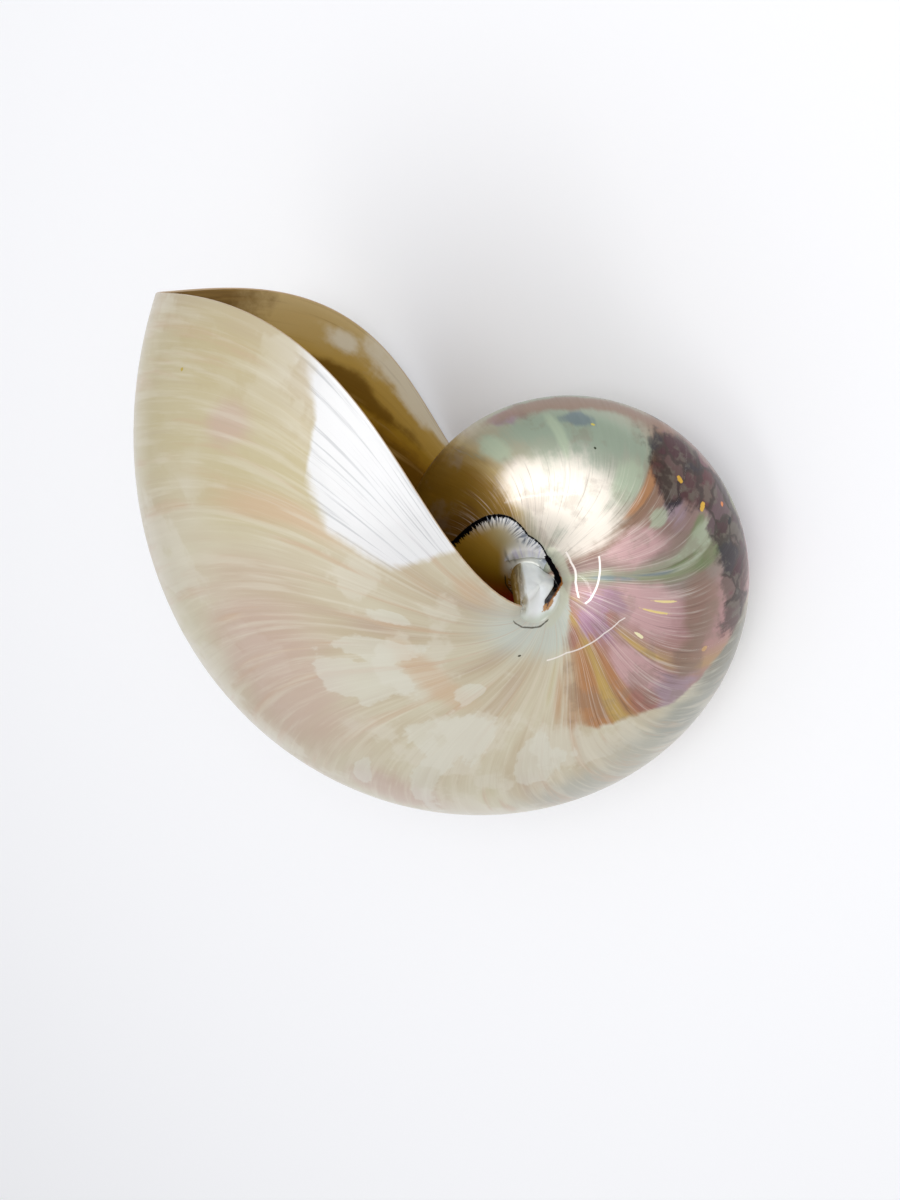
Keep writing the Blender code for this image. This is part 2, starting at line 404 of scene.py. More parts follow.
@dataclass
class WholeShell:
    """The shell's wall, both lips, the open chamber and the callus, as one closed mesh.

    Args:
        coil: The spiral that it grows on.
        wall: Thickness of the wall.
        lip_wall: Thickness at the lip's edge.
        thinning: How far back from the lip the wall thins, in radians.
        chamber: How far back from the lip the last septum is, in radians.
    """

    coil: Coil
    wall: float = 1.3 * MM
    lip_wall: float = 0.55 * MM
    thinning: float = radians(14)
    chamber: float = radians(135)
    septum_depth: float = 10 * MM
    septum_centre: float = 0.40
    callus_centre: Vector = field(default_factory=lambda: Vector((2.8, 0.4, 20.5)) * MM)
    callus_crown: Vector = field(default_factory=lambda: Vector((0, -1.2, 1.4)) * MM)
    half_columns: int = 50
    whorl_rows: int = 320
    foot_steps: int = 16
    lip_steps: int = 4
    callus_steps: int = 30
    septum_steps: int = 10
    callus_smoothing: int = 500

    def __post_init__(self) -> None:
        """Starts the mesh and its layers."""
        self.shape = bmesh.new()
        self.layers = {layer: self.shape.verts.layers.float.new(layer.value) for layer in Layer}
        self.step = tau / self.whorl_rows
        self.chamber_rows = round(self.chamber / self.step)
        self.columns = np.arange(-self.half_columns, self.half_columns + 1)

    def column_ring(self, angle: float) -> tuple[np.ndarray, np.ndarray, np.ndarray]:
        """The outer ring at one stage: its stages, its shares of the way and its sides."""
        way = np.abs(self.columns) / self.half_columns
        pull = self.coil.foot_pull(angle)
        rim = self.coil.rim_share + (self.coil.foot_share - self.coil.rim_share) * pull
        stage = angle - self.coil.foot_lag * pull * way**6
        return stage, rim * way, np.where(self.columns < 0, -1.0, 1.0)

    def wall_at(self, angle: float) -> float:
        """Thickness of the wall at a stage of growth."""
        return self.lip_wall + (self.wall - self.lip_wall) * float(eased(-angle / self.thinning))

    def place(self, verts: Sequence[bmesh.types.BMVert], points: np.ndarray, marks: Mapping[Layer, Any]) -> None:
        """Moves vertices to points and writes down what they know.

        Args:
            verts: The vertices, in order.
            points: A row of coordinates for each.
            marks: For each layer, one value or a value for each vertex.
        """
        for vert, point in zip(verts, points):
            vert.co = point
        for layer, values in marks.items():
            key = self.layers[layer]
            for vert, value in zip(verts, np.broadcast_to(values, len(verts))):
                vert[key] = value

    def first_ring(self, count: int) -> list[bmesh.types.BMVert]:
        """Vertices in a row, joined by edges."""
        ring = [self.shape.verts.new() for _ in range(count)]
        for one, other in zip(ring, ring[1:]):
            self.shape.edges.new((one, other))
        return ring

    def grow(self, ring: list[bmesh.types.BMVert], region: Region) -> list[bmesh.types.BMVert]:
        """Extrudes the ring's edges and returns the new ring.

        Args:
            ring: The ring to grow from.
            region: The finish of the new faces.

        Returns:
            The new ring, in the same order.
        """
        edges = [self.shape.edges.get(pair) for pair in zip(ring, ring[1:])]
        grown = set(bmesh.ops.extrude_edge_only(self.shape, edges=edges)["geom"])
        for part in grown:
            if isinstance(part, bmesh.types.BMFace):
                part.material_index = region
        return [next(edge.other_vert(vert) for edge in vert.link_edges if edge.other_vert(vert) in grown) for vert in ring]

    def grow_whorls(self) -> list[bmesh.types.BMVert]:
        """The floor of the chamber and the whole last whorl; returns the ring at the lip."""
        ring: list[bmesh.types.BMVert] = []
        for row in range(-self.chamber_rows - self.whorl_rows, 1):
            stage, way, side = self.column_ring(row * self.step)
            ring = self.grow(ring, Region.OUTSIDE) if ring else self.first_ring(len(self.columns))
            marks = {Layer.GROWTH: np.degrees(stage), Layer.ACROSS: side * way}
            self.place(ring, self.coil.outer(stage, way, side), marks)
        return ring

    def round_lip(self, ring: list[bmesh.types.BMVert]) -> list[bmesh.types.BMVert]:
        """Turns the lip's edge inwards on a half circle of the wall's thickness."""
        way = self.coil.rim_share * np.abs(self.columns) / self.half_columns
        side = np.where(self.columns < 0, -1.0, 1.0)
        stage = np.zeros_like(way)
        edge = self.coil.outer(stage, way, side)
        inward = self.coil.inward(stage, way, side)
        ahead = self.coil.outer(stage + self.coil.nudge, way, side) - edge
        ahead /= np.linalg.norm(ahead, axis=1, keepdims=True)
        radius = self.lip_wall / 2
        for turn in np.linspace(0, pi, self.lip_steps + 1)[1:-1]:
            ring = self.grow(ring, Region.OUTSIDE)
            points = edge + radius * (inward * (1 - cos(turn)) + ahead * sin(turn))
            self.place(ring, points, {Layer.GROWTH: 0.0, Layer.ACROSS: side * way, Layer.INWARD: turn / pi})
        return ring

    def chamber_ring(self, row: int) -> tuple[np.ndarray, dict[Layer, Any]]:
        """The inner wall's ring, whose last points run down the callus to the whorl before.

        Args:
            row: Rows back from the lip, counted down from 0.

        Returns:
            The points from the far foot to the near one, and their marks.
        """
        angle = row * self.step
        way = self.coil.rim_share * np.abs(self.columns) / self.half_columns
        side = np.where(self.columns < 0, -1.0, 1.0)
        stage = np.full_like(way, angle)
        points = self.coil.outer(stage, way, side) + self.wall_at(angle) * self.coil.inward(stage, way, side)
        below, below_way, below_side = self.column_ring(angle - tau)
        feet = self.coil.outer(below, below_way, below_side)
        down = np.linspace(0, 1, self.foot_steps + 1)[1:, None]
        runs = []
        for end in (0, -1):
            top, foot = points[end], feet[end]
            corner = np.array((foot[0], foot[1], top[2]))
            first, second = top + (corner - top) * down, corner + (foot - corner) * down
            runs.append(first + (second - first) * down)
        far, near = runs
        share = down[:, 0]
        ring = np.concatenate((far[::-1], points, near))
        across = np.concatenate((-(self.coil.rim_share + share[::-1]), side * way, self.coil.rim_share + share))
        depth = np.concatenate((share[::-1], np.zeros(len(way)), share))
        return ring, {Layer.GROWTH: np.degrees(angle), Layer.ACROSS: across, Layer.INWARD: 1.0, Layer.DEPTH: depth}

    def line_chamber(self, lip: list[bmesh.types.BMVert]) -> None:
        """Grows the inner wall back from the lip, with its last columns down the callus."""
        points, marks = self.chamber_ring(0)
        middle = self.grow(lip, Region.OUTSIDE)
        near, far = self.first_ring(self.foot_steps), self.first_ring(self.foot_steps)
        self.shape.edges.new((middle[-1], near[0]))
        self.shape.edges.new((middle[0], far[-1]))
        ring = far + middle + near
        self.place(ring, points, marks)
        for row in range(-1, -self.chamber_rows - 1, -1):
            ring = self.grow(ring, Region.LINING)
            points, marks = self.chamber_ring(row)
            self.place(ring, points, marks)

    def open_loops(self) -> list[list[bmesh.types.BMEdge]]:
        """The loops of edges that have one face, from the far flank to the near one."""
        left = {edge for edge in self.shape.edges if edge.is_boundary}
        loops = []
        while left:
            loop, front = [], [left.pop()]
            while front:
                edge = front.pop()
                loop.append(edge)
                beside = {other for vert in edge.verts for other in vert.link_edges if other in left}
                left -= beside
                front.extend(beside)
            loops.append(loop)
        return sorted(loops, key=lambda loop: sum(edge.verts[0].co.z for edge in loop) / len(loop))

    def draw_in(self, loop: list[bmesh.types.BMEdge], centre: Vector, steps: int, bulge: Vector, region: Region) -> None:
        """Closes a loop: extrudes it towards the centre in steps, the last of them at the centre itself.

        Args:
            loop: The open edges.
            centre: Where they meet.
            steps: How many steps they take.
            bulge: How far the middle stands off the straight way.
            region: The finish of the new faces.
        """
        inward, depth = self.layers[Layer.INWARD], self.layers[Layer.DEPTH]
        rim = {vert: vert.co.copy() for edge in loop for vert in edge.verts}
        for number in range(1, steps + 1):
            share = number / steps
            grown = bmesh.ops.extrude_edge_only(self.shape, edges=loop)["geom"]
            fresh = [part for part in grown if isinstance(part, bmesh.types.BMVert)]
            for part in grown:
                if isinstance(part, bmesh.types.BMFace):
                    part.material_index = region
            inner = {}
            for vert in fresh:
                behind = next(edge.other_vert(vert) for edge in vert.link_edges if edge.other_vert(vert) in rim)
                inner[vert] = rim[behind]
            rim = inner
            for vert, start in rim.items():
                vert.co = start.lerp(centre, share) + bulge * share * (2 - share)
                vert[depth] = share
                vert[inward] = 0.0
            loop = [part for part in grown if isinstance(part, bmesh.types.BMEdge)]

    def close_ends(self) -> None:
        """Closes the two umbilici with callus, and the chamber with a septum that is hollow towards the lip."""
        bmesh.ops.remove_doubles(self.shape, verts=self.shape.verts, dist=MERGE)
        far, septum, near = self.open_loops()
        median = Vector((0, 0, 1))
        self.draw_in(near, self.callus_centre, self.callus_steps, self.callus_crown, Region.CALLUS)
        mirrored = self.callus_centre.reflect(median), self.callus_crown.reflect(median)
        self.draw_in(far, mirrored[0], self.callus_steps, mirrored[1], Region.CALLUS)
        angle = -self.chamber_rows * self.step
        inner, outer = self.coil.outer_radius(angle - tau), self.coil.outer_radius(angle)
        reach = inner + self.septum_centre * (outer - inner)
        centre = Vector((reach * cos(angle), -reach * sin(angle), 0))
        hollow = self.septum_depth * Vector((sin(angle), cos(angle), 0))
        self.draw_in(septum, centre, self.septum_steps, hollow, Region.LINING)
        bmesh.ops.remove_doubles(self.shape, verts=self.shape.verts, dist=MERGE)
        bmesh.ops.recalc_face_normals(self.shape, faces=self.shape.faces)
        depth = self.layers[Layer.DEPTH]
        soft = [
            vert
            for vert in self.shape.verts
            if all(face.material_index == Region.CALLUS or vert[depth] > 0 for face in vert.link_faces)
            and 0 < vert[depth] < 0.97
        ]
        for _ in range(self.callus_smoothing):
            bmesh.ops.smooth_vert(self.shape, verts=soft, factor=0.5, use_axis_x=True, use_axis_y=True, use_axis_z=True)

    def build(self) -> bpy.types.Object:
        """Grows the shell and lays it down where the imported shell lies.

        Returns:
            The finished object, with its attributes.
        """
        lip = self.round_lip(self.grow_whorls())
        self.line_chamber(lip)
        self.close_ends()
        mesh = bpy.data.meshes.new("nautilus_shell")
        self.shape.to_mesh(mesh)
        self.shape.free()
        self.keep_plan(mesh)
        self.keep_tints(mesh)
        self.keep_film(mesh)
        self.press(mesh, self.keep_marks(mesh))
        self.lay_down(mesh)
        mesh.shade_smooth()
        shell = bpy.data.objects.new("nautilus_shell", mesh)
        bpy.context.collection.objects.link(shell)
        return shell

    def values(self, mesh: bpy.types.Mesh, name: str) -> np.ndarray:
        """Reads one float attribute of the mesh."""
        held = np.empty(len(mesh.vertices), np.float32)
        mesh.attributes[name].data.foreach_get("value", held)
        return held.astype(float)

    def keep_plan(self, mesh: bpy.types.Mesh) -> None:
        """Keeps each vertex's place in the coil's frame, in millimetres."""
        places = np.empty(len(mesh.vertices) * 3, np.float32)
        mesh.vertices.foreach_get("co", places)
        plan = mesh.attributes.new("plan", "FLOAT_VECTOR", "POINT")
        plan.data.foreach_set("vector", places / MM)

    def keep_tints(self, mesh: bpy.types.Mesh) -> None:
        """Works out how much of each tint every vertex has, with uneven edges; the far flank's are shifted."""
        stage, across = self.values(mesh, Layer.GROWTH), self.values(mesh, Layer.ACROSS)
        softness = np.interp(np.abs(across), *ZONE_SOFTNESS)
        for seam in SEAMS:
            self.keep(mesh, seam.name, seam.gap(stage, np.abs(across)))
        wave = np.array([noise.noise_vector(vert.co * WAVES_PER_METRE) for vert in mesh.vertices])
        far = np.where(across < 0, 8 * np.sin(np.radians(stage * 1.7)), 0.0)
        stage = stage + far + 2.5 * wave[:, 0]
        self.keep(mesh, "zone", (ZONE_EDGE.at(np.abs(across)) - stage) / softness)
        way = np.abs(across) + 0.03 * wave[:, 1]
        self.keep(mesh, "lip_glare", stage - far - 1.5 * wave[:, 0] - LIP_GLARE_EDGE.at(way - 0.015 * wave[:, 1]))
        for tint in (*BODY_TINTS, FROST, SHARDS_AND_SHADE, *OLD_TINTS, *LINING_TINTS):
            self.keep(mesh, tint.name, tint.cover(stage, way))

    def keep(self, mesh: bpy.types.Mesh, name: str, values: np.ndarray) -> None:
        """Writes one float attribute of the mesh."""
        mesh.attributes.new(name, "FLOAT", "POINT").data.foreach_set("value", values.astype(np.float32))

    def keep_marks(self, mesh: bpy.types.Mesh) -> np.ndarray:
        """Keeps the ways to the lines at the umbilicus and returns the relief along the normals, in millimetres."""
        places = np.array([vert.co for vert in mesh.vertices]) / MM
        flat = places[:, :2]
        close = (np.abs(places[:, 2]) > 8) & (np.linalg.norm(flat - (3, 0), axis=1) < 18)
        gaps = {}
        for mark in MARKS:
            gaps[mark.name] = np.full(len(flat), 50.0)
            gaps[mark.name][close] = mark.gap(flat[close])
            self.keep(mesh, mark.name, gaps[mark.name])
            self.keep(mesh, mark.name + "_way", np.abs(gaps[mark.name]))
        shelf = np.where(flat @ np.array(MOUTHWARD[:2]) < 8, gaps["shelf"], 50.0)
        relief = 0.45 * eased(shelf / 0.25) * (1 - eased((shelf - 0.6) / 2.5))
        dome = np.linalg.norm(flat - CALLUS_TOP, axis=1) / CALLUS_REACH
        relief += 0.6 * (1 - eased(dome)) * close
        relief -= 0.7 * np.exp(-((gaps["gap"] / 0.55) ** 2))
        relief += 0.22 * np.exp(-((gaps["rim"] / 0.5) ** 2)) - 0.15 * np.exp(-((gaps["rim"] / 0.2) ** 2))
        return relief

    def press(self, mesh: bpy.types.Mesh, relief: np.ndarray) -> None:
        """Moves the vertices along their normals by the relief, in millimetres."""
        normals = np.array([vert.normal for vert in mesh.vertices])
        places = np.array([vert.co for vert in mesh.vertices]) + relief[:, None] * MM * normals
        mesh.vertices.foreach_set("co", places.astype(np.float32).ravel())
        mesh.update()

    def keep_film(self, mesh: bpy.types.Mesh) -> None:
        """Keeps the signed way to the film's edge and the way along it, in millimetres, for each vertex."""
        stage, across = self.values(mesh, Layer.GROWTH), self.values(mesh, Layer.ACROSS)
        places = np.empty(len(mesh.vertices) * 3, np.float32)
        mesh.vertices.foreach_get("co", places)
        places = places.reshape(-1, 3) / MM
        inside = FILM_EDGE.at(np.abs(across)) - stage
        film = np.where(inside > 0, 50.0, -50.0)
        along = np.zeros(len(film))
        near = (stage < -270) & (stage > -430)
        for side in Side:
            mine = np.flatnonzero(near & (np.sign(across + 0.001 * side) == side))
            ways = np.linspace(0, FILM_EDGE.ways[-1], 120)
            stages = np.radians(FILM_EDGE.at(ways))
            line = self.coil.outer(stages, ways, np.full(len(ways), float(side))) / MM
            run = np.concatenate(((0,), np.cumsum(np.linalg.norm(np.diff(line, axis=0), axis=1))))
            best = np.full(len(mine), 50.0)
            for number, (low, high) in enumerate(zip(line, line[1:])):
                leg = high - low
                share = np.clip((places[mine] - low) @ leg / (leg @ leg), 0, 1)
                gap = np.linalg.norm(places[mine] - low - share[:, None] * leg, axis=1)
                closer = gap < best
                best[closer] = gap[closer]
                along[mine[closer]] = side * (run[number] + share[closer] * (run[number + 1] - run[number]))
            film[mine] = np.sign(inside[mine]) * best
        self.keep(mesh, "film", film)
        self.keep(mesh, "film_along", along)

    def lay_down(self, mesh: bpy.types.Mesh) -> None:
        """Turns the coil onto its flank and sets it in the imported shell's box, on the floor."""
        mesh.transform(self.coil.lie.to_matrix().to_4x4())
        places = np.array([vert.co for vert in mesh.vertices])
        low, high = places.min(axis=0), places.max(axis=0)
        box_low, box_high = (np.array(corner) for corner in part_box(NODE))
        shift = (box_low + box_high) / 2 - (low + high) / 2
        shift[2] = -low[2]
        mesh.transform(Matrix.Translation(Vector(shift)))


@dataclass(frozen=True)
class Finish:
    """A procedural material; each kind fills in its own pattern.

    Args:
        name: The real material and how its surface was made.
        roughness: Roughness of the surface under the gloss.
        coat: Weight of the clear gloss.
        coat_roughness: Roughness of the gloss.
    """

    name: str
    roughness: float
    coat: float
    coat_roughness: float

    def start(self) -> tuple[bpy.types.Material, bpy.types.NodeTree, bpy.types.Node]:
        """Makes the material with its constant gloss.

        Returns:
            The material, its node tree and its shader.
        """
        material = bpy.data.materials.new(self.name)
        material.use_nodes = True
        tree = material.node_tree
        shader = tree.nodes["Principled BSDF"]
        shader.inputs["Roughness"].default_value = self.roughness
        shader.inputs["Coat Weight"].default_value = self.coat
        shader.inputs["Coat Roughness"].default_value = self.coat_roughness
        return material, tree, shader


def add(
    tree: bpy.types.NodeTree,
    kind: str,
    settings: Mapping[str, Any] | None = None,
    inputs: Mapping[int | str, Any] | None = None,
    stops: Sequence[tuple[float, str]] = (),
) -> Any:
    """Adds a node with its settings and links.

    Args:
        tree: The node tree.
        kind: The node's type, without its "ShaderNode".
        settings: Properties of the node.
        inputs: For each socket, a value or another node's output.
        stops: For a colour ramp, positions from 0 to 1, each with a hex colour.

    Returns:
        The node's first output that is on.
    """
    node = tree.nodes.new("ShaderNode" + kind)
    for name, value in (settings or {}).items():
        setattr(node, name, value)
    for socket, value in (inputs or {}).items():
        if isinstance(value, bpy.types.NodeSocket):
            tree.links.new(value, node.inputs[socket])
        else:
            node.inputs[socket].default_value = value
    for number, (position, colour) in enumerate(stops):
        elements = node.color_ramp.elements
        element = elements[number] if number < 2 else elements.new(position)
        element.position, element.color = position, linear(colour)
    return next(output for output in node.outputs if output.enabled)


class Ground:
    """Where a point of the surface is, and the noise that follows the growth lines there."""

    def __init__(self, tree: bpy.types.NodeTree) -> None:
        """Reads the mesh's attributes and makes the shared noise."""
        self.tree = tree
        self.growth = self.attribute(Layer.GROWTH.value)
        self.across = self.attribute(Layer.ACROSS.value)
        self.inward = self.attribute(Layer.INWARD.value)
        self.depth = self.attribute(Layer.DEPTH.value)
        self.plan = add(tree, "Attribute", {"attribute_name": "plan"}).node.outputs["Vector"]
        self.surface = add(tree, "CombineXYZ", {}, {"X": self.growth, "Y": self.across})
        self.fine = self.streaks((1.1, 3.0, 1.0), 5.0)
        self.band = self.streaks((0.5, 3.4, 1.0), 4.0)
        self.coarse = self.streaks((0.22, 2.2, 1.0), 4.0)
        self.broad = self.streaks((0.05, 1.6, 1.0), 3.0)
        self.cloud = self.noise(self.plan, 0.05, 5.0)
        self.patchy = self.noise(self.plan, 0.13, 6.0)
        self.grain = self.noise(self.plan, 1.4, 2.0)
        self.uneven = self.sum(self.patchy, 0.65, self.times(self.coarse, 0.35))

    def attribute(self, name: str) -> bpy.types.NodeSocket:
        """A number that the mesh keeps for each vertex."""
        return add(self.tree, "Attribute", {"attribute_name": name}).node.outputs["Fac"]

    def apart(self, name: str) -> bpy.types.NodeSocket:
        """The way to a mark: from its signed offset close to it, and from the plain way elsewhere."""
        offset = self.size(self.attribute(name))
        plain = self.sum(self.attribute(name + "_way"), 1.0, -0.35)
        return add(self.tree, "Math", {"operation": "MAXIMUM"}, {0: offset, 1: plain})

    def along(self, direction: tuple[float, float, float]) -> bpy.types.NodeSocket:
        """How far a place lies along a direction of the coil's frame, in millimetres."""
        dot = add(self.tree, "VectorMath", {"operation": "DOT_PRODUCT"}, {0: self.plan, 1: direction})
        return dot.node.outputs["Value"]

    def speck(self, stage: float, way: float, stage_reach: float, way_reach: float) -> bpy.types.NodeSocket:
        """A small spot with an uneven edge, for its middle and its reach in degrees and in shares of the way."""
        inputs = {
            "Vector": self.surface,
            "Location": (-stage / stage_reach, -way / way_reach, 0.0),
            "Scale": (1 / stage_reach, 1 / way_reach, 1.0),
        }
        place = add(self.tree, "Mapping", {}, inputs)
        reach = add(self.tree, "VectorMath", {"operation": "LENGTH"}, {0: place}).node.outputs["Value"]
        return self.between(self.sum(self.grain, 0.8, reach), 1.5, 1.3)

    def noise(self, place: bpy.types.NodeSocket, scale: float, detail: float) -> bpy.types.NodeSocket:
        """Plain noise over a place."""
        inputs = {"Vector": place, "Scale": scale, "Detail": detail, "Roughness": 0.6}
        return add(self.tree, "TexNoise", {}, inputs)

    def streaks(self, scale: tuple[float, float, float], detail: float) -> bpy.types.NodeSocket:
        """Noise drawn out along the growth lines, for a scale per degree of growth and per share of the way."""
        return self.noise(add(self.tree, "Mapping", {}, {"Vector": self.surface, "Scale": scale}), 1.0, detail)

    def sum(self, value: Any, times: Any, plus: Any) -> bpy.types.NodeSocket:
        """A value times a number, plus a number."""
        return add(self.tree, "Math", {"operation": "MULTIPLY_ADD"}, {0: value, 1: times, 2: plus})

    def times(self, one: Any, other: Any) -> bpy.types.NodeSocket:
        """One value times another."""
        return add(self.tree, "Math", {"operation": "MULTIPLY"}, {0: one, 1: other})

    def ramp(
        self, value: bpy.types.NodeSocket, low: float, high: float, stops: Sequence[tuple[float, str]]
    ) -> bpy.types.NodeSocket:
        """Colours along a value.

        Args:
            value: What the colours follow.
            low: The value where they start.
            high: The value where they end.
            stops: Values, each with its hex colour.

        Returns:
            The colour.
        """
        share = add(self.tree, "MapRange", {}, {"Value": value, "From Min": low, "From Max": high})
        places = [((at - low) / (high - low), colour) for at, colour in stops]
        return add(self.tree, "ValToRGB", {}, {"Fac": share}, places)

    def between(self, value: Any, low: float, high: float, most: float = 1.0) -> bpy.types.NodeSocket:
        """A smooth rise from 0 at the low value to the most at the high one, which may be the lesser."""
        if low > high:
            value, low, high = self.times(value, -1.0), -low, -high
        inputs = {"Value": value, "From Min": low, "From Max": high, "To Max": most}
        return add(self.tree, "MapRange", SMOOTH, inputs)

    def size(self, value: Any) -> bpy.types.NodeSocket:
        """A value without its sign."""
        return add(self.tree, "Math", {"operation": "ABSOLUTE"}, {0: value})

    def over(self, below: Any, colour: Any, share: Any) -> bpy.types.NodeSocket:
        """A colour laid over another by a share."""
        colour = linear(colour) if isinstance(colour, str) else colour
        below = linear(below) if isinstance(below, str) else below
        return add(self.tree, "Mix", {"data_type": "RGBA"}, {0: share, 6: below, 7: colour})

    def shown(self, tint: Tint, breakup: Any, amount: float, soft: float, most: float = 1.0) -> bpy.types.NodeSocket:
        """How much of a tint shows, with an edge that a noise breaks up.

        Args:
            tint: The tint, whose cover the mesh keeps.
            breakup: The noise, about a half.
            amount: How far the noise moves the edge.
            soft: Half the width of the edge, in cover.
            most: The most that the tint covers.

        Returns:
            The share.
        """
        moved = self.sum(breakup, amount, self.attribute(tint.name))
        middle = 0.5 + amount / 2
        return self.between(moved, middle - soft, middle + soft, most)

    def tinted(
        self, below: Any, tint: Tint, breakup: Any, amount: float, soft: float, most: float = 1.0
    ) -> bpy.types.NodeSocket:
        """A tint laid over a colour; the rest as in shown."""
        return self.over(below, tint.colour, self.shown(tint, breakup, amount, soft, most))


@dataclass(frozen=True)
class PolishedNacre(Finish):
    """Nautilus nacre, ground and polished to mother-of-pearl.

    To the eye: satin cream with growth lines, a soft pearly glare under a clear gloss, partly painted in as white
    highlights, and green, rose, violet and gold on the older part of the whorl, where the grinding went into other
    layers, with painted shade by the lip and the mouth.
    """

    name: str = "mother_of_pearl_ground_and_polished"
    roughness: float = 0.36
    coat: float = 0.32
    coat_roughness: float = 0.05

    def body(self, ground: Ground) -> bpy.types.NodeSocket:
        """Cream nacre of the last half whorl, clouded and streaked, with the lip's glare painted in as a white
        highlight.
        """
        stops = ((0.30, "#BAA48F"), (0.42, "#C1B296"), (0.52, "#C9BEA4"), (0.62, "#CEC6AD"), (0.75, "#BFB48B"))
        colour = ground.ramp(ground.broad, 0.0, 1.0, stops)
        colour = ground.over(colour, "#D6CFBD", ground.between(ground.cloud, 0.50, 0.56, 0.6))
        for tint in BODY_TINTS:
            colour = ground.tinted(colour, tint, ground.coarse, 0.7, 0.35, 0.75)
        colour = ground.over(colour, "#C6A98C", ground.between(ground.coarse, 0.54, 0.70, 0.6))
        colour = ground.over(colour, "#DAD3C0", ground.between(ground.band, 0.47, 0.66, 0.38))
        colour = ground.over(colour, "#DED6C2", ground.between(ground.fine, 0.52, 0.74, 0.3))
        colour = ground.over(colour, "#B9A68A", ground.between(ground.fine, 0.46, 0.28, 0.25))
        patches = ground.sum(ground.patchy, 0.6, ground.times(ground.coarse, 0.4))
        colour = ground.tinted(colour, FROST, patches, 2.2, 0.07, 0.42)
        # painted highlight: the lip's glare laid over the nacre as white with grey streaks
        lip_glare = ground.sum(ground.patchy, 7.0, ground.sum(ground.fine, 3.0, ground.attribute("lip_glare")))
        pale = ground.over("#ECEDF0", "#B4B8BE", ground.between(ground.fine, 0.48, 0.36, 0.7))
        return ground.over(colour, pale, ground.between(lip_glare, 3.8, 8.6, 0.85))

    def old_whorl(self, ground: Ground) -> bpy.types.NodeSocket:
        """The iridescent part: bands of colour that follow the growth lines, with painted shade by the near lip, a
        painted glare and painted shade on the side that faces away.
        """
        moved = ground.sum(ground.coarse, 9.0, ground.growth)
        moved = ground.sum(moved, 1.0, -4.5)
        colour = ground.ramp(moved, -362.0, -138.0, ZONE_COLOURS)
        for number, tint in enumerate(OLD_TINTS):
            breakup = ground.uneven if number % 2 else ground.coarse
            colour = ground.tinted(colour, tint, breakup, 1.5, 0.25, 0.85)
        colour = ground.over(colour, "#8C7C6C", ground.between(ground.patchy, 0.50, 0.62, 0.35))
        # dark pieces of other layers, with painted shade, on the side that faces away from the light
        colour = ground.over(colour, self.shards_and_shade(ground), ground.shown(SHARDS_AND_SHADE, ground.uneven, 1.8, 0.12, 0.94))
        side = ground.between(ground.size(ground.across), 0.30, 0.50)
        pale = ground.times(ground.between(ground.fine, 0.50, 0.70, 0.42), side)
        colour = ground.over(colour, "#F6ECE2", pale)
        dark = ground.times(ground.between(ground.fine, 0.45, 0.29, 0.5), side)
        return ground.over(colour, "#5A4034", dark)

    def shards_and_shade(self, ground: Ground) -> bpy.types.NodeSocket:
        """Dark angular pieces of other layers that show through on the outer side, laid where painted shade darkens the
        side that faces away from the light.
        """
        drift = add(ground.tree, "TexNoise", {}, {"Vector": ground.plan, "Scale": 0.3, "Detail": 3.0})
        moved = {0: drift.node.outputs["Color"], 1: (4.0, 4.0, 4.0), 2: ground.plan}
        place = {"Vector": add(ground.tree, "VectorMath", {"operation": "MULTIPLY_ADD"}, moved), "Scale": 0.15}
        cell = add(ground.tree, "TexVoronoi", {}, place).node.outputs["Color"]
        edge = add(ground.tree, "TexVoronoi", {"feature": "DISTANCE_TO_EDGE"}, place)
        colour = ground.ramp(cell, 0.2, 0.8, SHARD_AND_SHADE_COLOURS)
        colour = ground.over(colour, "#6E6A5C", ground.between(ground.patchy, 0.50, 0.58, 0.6))
        return ground.over(colour, "#33241F", ground.between(edge, 0.10, 0.02, 0.85))

    def film(self, ground: Ground) -> bpy.types.NodeSocket:
        """The film on the floor of the mouth; painted shade and glow darken it to gold, amber and red further in."""
        colour = ground.ramp(ground.growth, -470.0, -290.0, FILM_COLOURS)
        edge, shelf = ground.attribute("film"), ground.attribute("shelf")
        place = add(ground.tree, "CombineXYZ", {}, {"X": ground.attribute("film_along"), "Y": edge})
        place = add(ground.tree, "Mapping", {}, {"Vector": place, "Scale": (2.2, 0.2, 1.0)})
        ridges = ground.noise(place, 1.0, 3.0)
        way = ground.attribute("shelf_way")
        haze = ground.times(ground.between(way, 5.0, 1.2, 0.9), ground.between(ground.along(MOUTHWARD), 10.0, 6.5))
        colour = ground.over(colour, "#E4E6E0", haze)
        fringe = ground.times(ground.between(edge, 3.8, 0.8, 0.95), ground.between(ground.growth, -380.0, -358.0))
        ridge_colours = ((0.36, "#1E2636"), (0.44, "#8A96AA"), (0.52, "#F4F7FA"))
        colour = ground.over(colour, ground.ramp(ridges, 0.0, 1.0, ridge_colours), fringe)
        # the pale lobe above the shelf, with a painted highlight along its edge
        lobe_and_highlight = ground.over("#E8E9E8", "#C6C4E2", ground.between(ground.coarse, 0.47, 0.62, 0.7))
        short = ground.between(ground.sum(way, 0.9, ground.along(MOUTHWARD)), 9.6, 8.2)
        lit = ground.times(ground.between(shelf, -0.03, 0.06), ground.between(way, 3.6, 0.8))
        colour = ground.over(colour, lobe_and_highlight, ground.times(lit, short))
        # painted shadow under the shelf's edge
        shade = ground.times(ground.between(shelf, -0.7, -0.1, 0.5), ground.between(shelf, 0.02, -0.05))
        shade = ground.times(shade, short)
        return ground.over(colour, "#7A7258", shade)

